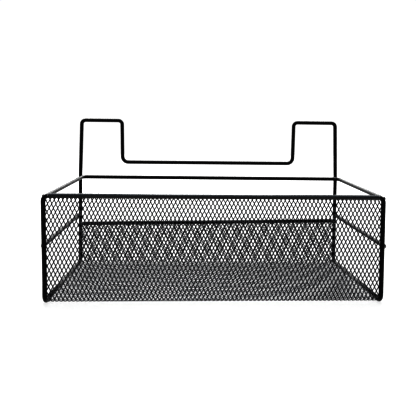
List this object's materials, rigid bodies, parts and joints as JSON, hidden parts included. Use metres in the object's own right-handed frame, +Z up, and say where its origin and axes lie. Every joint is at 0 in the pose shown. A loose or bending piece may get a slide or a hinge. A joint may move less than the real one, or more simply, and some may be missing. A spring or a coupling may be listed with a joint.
{
  "type": "cable tray",
  "caption": "Hanging wire basket with a bent expanded metal mesh front, floor and low back, open ends, and two tall square hanger loops at the back.",
  "frame": {"origin": "centre of the overall footprint, on the surface that the floor rails lie on", "axes": "+X along the tray, +Y towards the hanger loops at the back, +Z up"},
  "size_m": [0.304, 0.1456, 0.1668],
  "materials": {
    "black_coat": "satin black powder coat over steel"
  },
  "bodies": {
    "root": {"frame_wire": "black_coat", "rim_wire": "black_coat", "left_side_rail": "black_coat", "right_side_rail": "black_coat", "rear_rail": "black_coat", "mesh_tray": "black_coat"}
  },
  "joints": []
}
